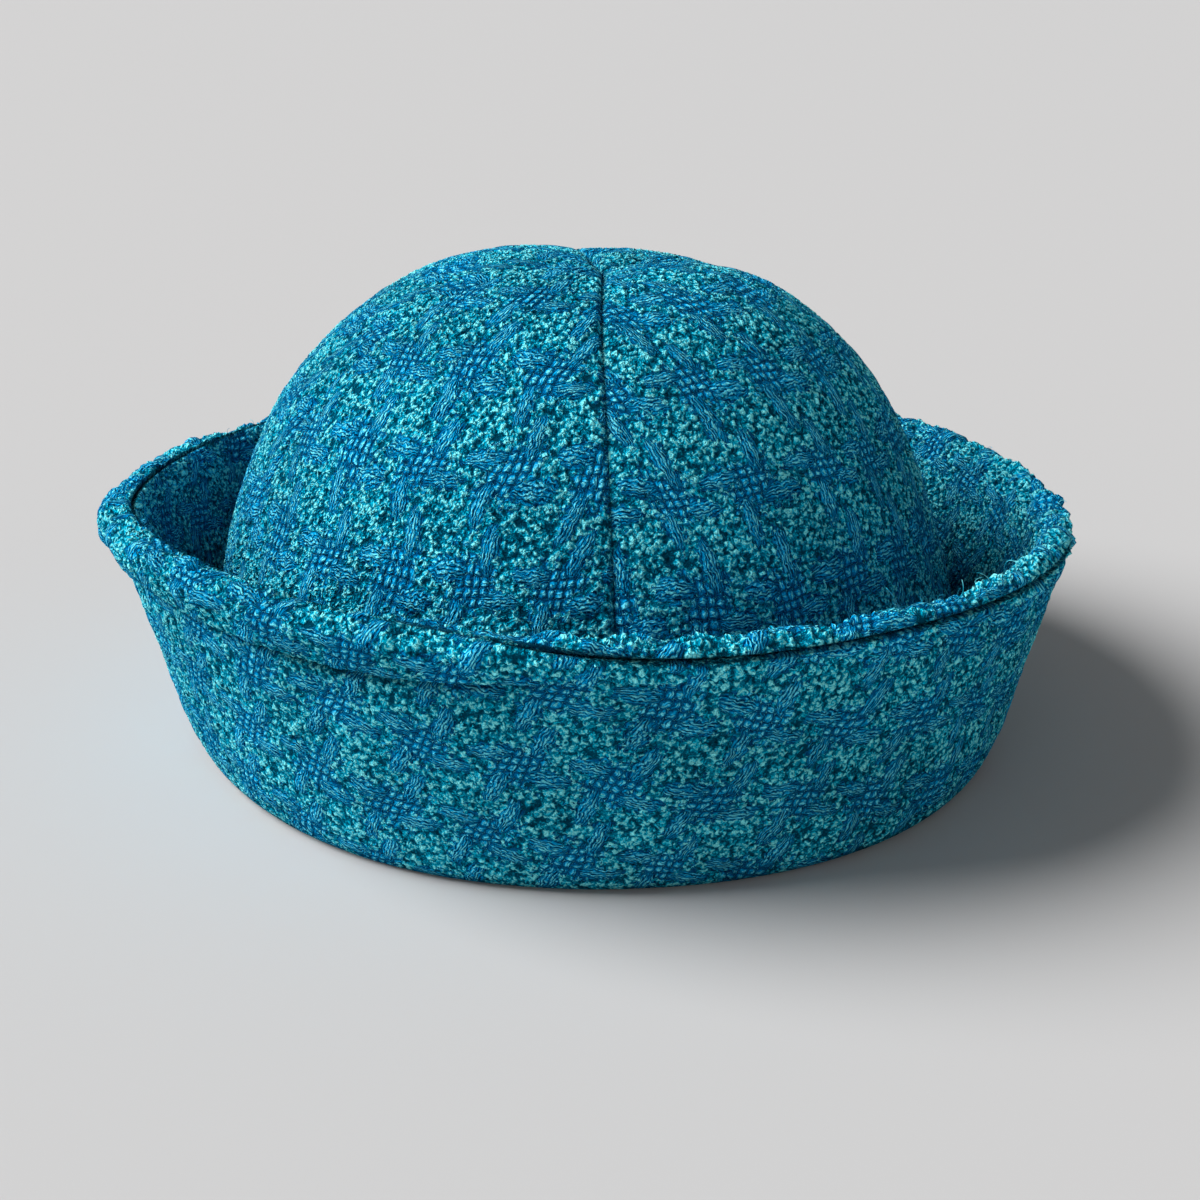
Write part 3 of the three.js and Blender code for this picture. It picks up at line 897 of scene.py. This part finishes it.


# The cloth: how light it is, and how dark the painted shade makes it beside its pressed seams and
# under the band, in shares of that
def woven_material(name, shade, painted_seam_shade):
    material, tree, shader = new_material(name, CLOTH_FINISH)
    uv = tree.nodes.new("ShaderNodeUVMap")
    uv.uv_map = "weave"
    weft, warp, _ = parts_of(tree, uv.outputs[0])
    spot = attribute(tree, "before_relief")
    side, along, inside = parts_of(tree, attribute(tree, "float_chart"))
    block, taken, _ = parts_of(tree, attribute(tree, "block_chart"))
    fray, (slip_across, slip_down, ragged) = unevenness(tree, spot, FRAY_A_MM, 2.0)
    _, (drift_across, drift_down, drift) = unevenness(tree, spot, DRIFT_A_MM, 1.0)

    # which yarn lies on top
    on_float = ragged * FLOAT_EDGE["ragged"] + drift_across * FLOAT_EDGE["drift"] + inside
    on_float = on_float.rising(*FLOAT_EDGE["depths"])
    on_block = ragged * BLOCK_EDGE["ragged"] + drift_down * BLOCK_EDGE["drift"] + block
    on_block = on_block.rising(*BLOCK_EDGE["depths"])
    slip, slow_slip = YARN_SLIP["ragged"], YARN_SLIP["drift"]
    across = weft * YARNS_A_REPEAT + slip_across * slip + drift_across * slow_slip
    down = warp * YARNS_A_REPEAT + slip_down * slip + drift_down * slow_slip
    over = (across * math.pi).worked("SINE") * (down * math.pi).worked("SINE")
    over = over.rising(-0.12, 0.12)
    cell_across, cell_down = (across - 0.5).wrapped(0.5), (down - 0.5).wrapped(0.5)
    cell_along, cell_side = cell_down.toward(cell_across, over), cell_across.toward(cell_down, over)

    # threads in a blue yarn
    side_mm = (cell_side * YARN_WIDTH).toward(side * FLOAT_HALF["side"], on_float)
    along_mm = (cell_along * YARN_WIDTH).toward(along * FLOAT_HALF["along"], on_float)
    phase = ragged * 4.5 + drift * 9.0 + along_mm * 0.15
    threads = (side_mm * (math.pi / THREAD_WIDTH) + phase).worked("SINE").size()
    threads = threads.worked("POWER", 0.6)
    strand_place = vector_of(tree, side_mm * 1.25 + ragged * 0.8, along_mm * 0.28, drift * 6.0)
    strands = noise_amount(tree, strand_place, 1.0, 1.0).ridge(0.42)
    fibre_place = vector_of(tree, side_mm * 3.0, along_mm * 0.6, drift * 5.0)
    fibres = noise_amount(tree, fibre_place, 1.0, 1.0).rising(0.3, 0.7, "LINEAR")
    threads = threads * THREAD_SHARE["threads"] + strands * THREAD_SHARE["strands"]
    threads = threads * (fibres * 0.4 + 0.6)
    float_round = side.rounded(0.5) * along.rounded(0.35)
    cell_round = (cell_side * 2.0).rounded(0.6) * (cell_along * 1.8).rounded(0.6)
    cell_height = cell_round * (threads * 0.6 + 0.42)
    blue_height = cell_height.toward((float_round * 0.45 + 0.55) * threads, on_float)

    # curls of the boucle yarn
    elsewhere = vector_sum(tree, spot, 1.0, (7.3, 1.9, 4.4))
    finer = noise_amount(tree, elsewhere, CURLS_A_MM * 1.15, 0.0).ridge(CURL_WIDTH)
    curls = noise_amount(tree, spot, CURLS_A_MM, 0.0).ridge(CURL_WIDTH).most(finer * 0.9)
    boucle_height = curls.worked("POWER", 0.7) * (nub_dome(tree, spot, fray) * 0.95 + 0.18)

    # both yarns
    blue = on_float.flipped() * on_block + on_float
    height = boucle_height.toward(blue_height, blue)
    colour = tree.nodes.new("ShaderNodeMix")
    colour.data_type = "RGBA"
    tree.links.new(blue.socket, colour.inputs[0])
    tree.links.new(yarn_colour(tree, boucle_height, BOUCLE_YARN), colour.inputs[6])
    tree.links.new(yarn_colour(tree, blue_height, BLUE_YARN), colour.inputs[7])

    # worn places, painted shade along the pressed seams and under the band's foot, and a painted
    # highlight on the rolled edge
    wear_and_painted_light = noise_amount(tree, spot, WEAR_A_MM, 2.0).rising(0.25, 0.75)
    wear_and_painted_light = wear_and_painted_light * WEAR_AND_EDGE_HIGHLIGHT["places"] + (shade - WEAR_AND_EDGE_HIGHLIGHT["places"] / 2)
    # painted shade where the relief is flattened: along the seams, at the crown's top, by the floor
    # and under the band's foot
    wear_and_painted_light = wear_and_painted_light * (taken.rising(0.0, 0.8) * (1 - painted_seam_shade) + painted_seam_shade)
    # a painted highlight on the rolled edge, where the relief is fuller
    wear_and_painted_light = wear_and_painted_light * ((taken - 1.0).most(0.0) * WEAR_AND_EDGE_HIGHLIGHT["edge"] + 1.0)
    toned = tree.nodes.new("ShaderNodeVectorMath")
    toned.operation = "SCALE"
    tree.links.new(colour.outputs[2], toned.inputs[0])
    tree.links.new(wear_and_painted_light.socket, toned.inputs["Scale"])
    tree.links.new(toned.outputs[0], shader.inputs["Base Color"])
    bump = tree.nodes.new("ShaderNodeBump")
    bump.inputs["Distance"].default_value = BUMP_HEIGHT * MM
    tree.links.new(height.socket, bump.inputs["Height"])
    tree.links.new(bump.outputs[0], shader.inputs["Normal"])
    return material


# Loose fibres along the rolled edge, where the boucle yarn has frayed: how many stand between
# two azimuths, and how long they are
FRAYED_PARTS = [
    {"from": 292, "to": 338, "fibres": 44, "shortest": 2.5, "longest": 6.5},
    {"from": 190, "to": 290, "fibres": 22, "shortest": 1.5, "longest": 3.5},
    {"from": 340, "to": 545, "fibres": 30, "shortest": 1.5, "longest": 3.5},
]
# Each fibre: its radius, how many straight steps it is made of, between which angles on the roll
# its root lies, how far below and above the edge's face its first way is taken, how far it
# strays along the edge, and how much it curls and droops
FIBRE = {
    "radius": 0.055,
    "steps": 9,
    "roots": (-35, 60),
    "first_way": (-0.4, 0.6),
    "strays": 1.6,
    "curls": 0.22,
    "droops": 0.05,
}


# A spot on the rolled edge, so far from the roll's middle
def edge_spot(azimuth, angle, radius):
    wall = brim_wall(np.array([azimuth % 360.0]))
    out, up = on_roll(wall, angle, radius)[0]
    turn = math.radians(azimuth)
    return np.array([out * math.cos(turn) + HAT_AXIS[0], out * math.sin(turn) + HAT_AXIS[1], up])


def fray_edge(name, seed):
    dice = np.random.default_rng(seed)
    curve = bpy.data.curves.new(name, "CURVE")
    curve.dimensions = "3D"
    curve.bevel_depth = FIBRE["radius"] * MM
    curve.bevel_resolution = 0
    curve.use_fill_caps = True
    for part in FRAYED_PARTS:
        for _ in range(part["fibres"]):
            azimuth = dice.uniform(part["from"], part["to"])
            angle = math.radians(dice.uniform(*FIBRE["roots"]))
            root, outside = (
                edge_spot(azimuth, angle, ROLL_RADIUS + lift) for lift in FIBRE["first_way"]
            )
            here, beside = (edge_spot(azimuth + turn, angle, ROLL_RADIUS) for turn in (0, 0.5))
            along = (beside - here) / np.linalg.norm(beside - here)
            way = outside - root + along * dice.uniform(-FIBRE["strays"], FIBRE["strays"])
            step = dice.uniform(part["shortest"], part["longest"]) / FIBRE["steps"]
            bend = dice.normal(0, FIBRE["curls"], 3)
            spline = curve.splines.new("POLY")
            spline.points.add(FIBRE["steps"])
            for point in spline.points:
                point.co = (*(root * MM), 1)
                way = way / np.linalg.norm(way) + np.cross(bend, way) - (0, 0, FIBRE["droops"])
                root = root + way / np.linalg.norm(way) * step
    fibres = put_in_scene(name, curve)
    pick_out(fibres)
    bpy.ops.object.convert(target="MESH")
    # close the caps at the ends of each fibre
    bpy.ops.object.mode_set(mode="EDIT")
    bpy.ops.mesh.select_all(action="SELECT")
    bpy.ops.mesh.remove_doubles(threshold=0.001 * MM)
    bpy.ops.object.mode_set(mode="OBJECT")
    fibres.select_set(False)
    return fibres


def fibre_material(name):
    material, tree, shader = new_material(name, FIBRE_FINISH)
    place = tree.nodes.new("ShaderNodeTexCoord").outputs["Object"]
    height = noise_amount(tree, place, 260.0, 1.0).rising(0.2, 0.8)
    tree.links.new(yarn_colour(tree, height, BOUCLE_YARN[2:]), shader.inputs["Base Color"])
    return material


# Both copies are lightened to the cloth's tone; the crown's copy more, as painted light for the
# light that falls more on the crown
crown_cloth = woven_material("crown_boucle_weave", shade=1.16, painted_seam_shade=0.72)
brim_cloth = woven_material("brim_boucle_weave", shade=1.07, painted_seam_shade=0.55)

for gore in CROWN_GORES:
    piece = sew_gore(gore)
    press_relief(piece)
    piece.data.shade_smooth()
    piece.data.materials.append(crown_cloth)
    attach(piece, "root")
    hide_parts(gore["node"])

for node, paths, mirrored in (
    ("brim_outer", outer_paths, False),
    ("brim_inner", inner_paths, True),
):
    piece = sew_brim(node, paths, mirrored)
    press_relief(piece)
    piece.data.shade_smooth()
    piece.data.materials.append(brim_cloth)
    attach(piece, "root")
    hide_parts(node)

fibres = fray_edge("frayed_edge_fibres", seed=11)
fibres.data.materials.append(fibre_material("frayed_fibre"))
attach(fibres, "root")

# Floor: a sheet of pale paper, with its half width in metres
FLOOR_FINISH = {"Base Color": (0.585, 0.58, 0.58, 1), "Roughness": 0.9, "Specular IOR Level": 0.1}
FLOOR_HALF_WIDTH = 12

low, high = -FLOOR_HALF_WIDTH, FLOOR_HALF_WIDTH
floor_mesh = bpy.data.meshes.new("studio_floor")
floor_corners = [(low, low, 0), (high, low, 0), (high, high, 0), (low, high, 0)]
floor_mesh.from_pydata(floor_corners, [], [(0, 1, 2, 3)])
floor_mesh.materials.append(new_material("floor_paper", FLOOR_FINISH)[0])
floor = put_in_scene("studio_floor", floor_mesh)

# Lamps: how strong and how wide each is, and where it shines from
LAMPS = [
    {"name": "key_light", "energy": 4.4, "width": 42, "azimuth": 172, "elevation": 41},
    {"name": "front_fill", "energy": 0.25, "width": 70, "azimuth": 262, "elevation": 12},
]
for lamp in LAMPS:
    light = bpy.data.lights.new(lamp["name"], "SUN")
    light.energy = lamp["energy"]
    light.angle = math.radians(lamp["width"])
    light_object = put_in_scene(lamp["name"], light)
    light_object.rotation_euler = (
        math.radians(90 - lamp["elevation"]),
        0,
        math.radians(lamp["azimuth"] + 90),
    )

# Studio: pale walls low down all round, brighter on the left, and a dim ceiling
STUDIO_LIGHT = {"ceiling": 0.08, "walls": 0.36, "more_at_left": 0.2}

world = bpy.data.worlds.new("studio")
bpy.context.scene.world = world
world.use_nodes = True
nodes, links = world.node_tree.nodes, world.node_tree.links
way = nodes.new("ShaderNodeTexCoord").outputs["Generated"]
rightward, _, upward = parts_of(world.node_tree, way)
low_down = upward.rising(0.3, 0.6).flipped()
leftward = rightward.rising(-0.3, 0.9).flipped()
strength = low_down * (leftward * STUDIO_LIGHT["more_at_left"] + STUDIO_LIGHT["walls"])
strength = strength + STUDIO_LIGHT["ceiling"]
links.new(strength.socket, nodes["Background"].inputs["Strength"])
nodes["Background"].inputs["Color"].default_value = (1, 1, 1, 1)

# Camera: where it stands, how far it looks down and how far it turns to the left
CAMERA = {"place": (-34.75, -431.2, 190.4), "down": 20.68, "turn": -5.0, "lens": 54, "film": 36}

camera_data = bpy.data.cameras.new("camera")
camera = put_in_scene("camera", camera_data)
bpy.context.scene.camera = camera
camera_data.sensor_width = CAMERA["film"]
camera_data.lens = CAMERA["lens"]
camera_data.clip_end = 60
camera.location = [part * MM for part in CAMERA["place"]]
camera.rotation_euler = (math.radians(90 - CAMERA["down"]), 0, math.radians(CAMERA["turn"]))
bpy.context.scene.view_settings.view_transform = "Standard"
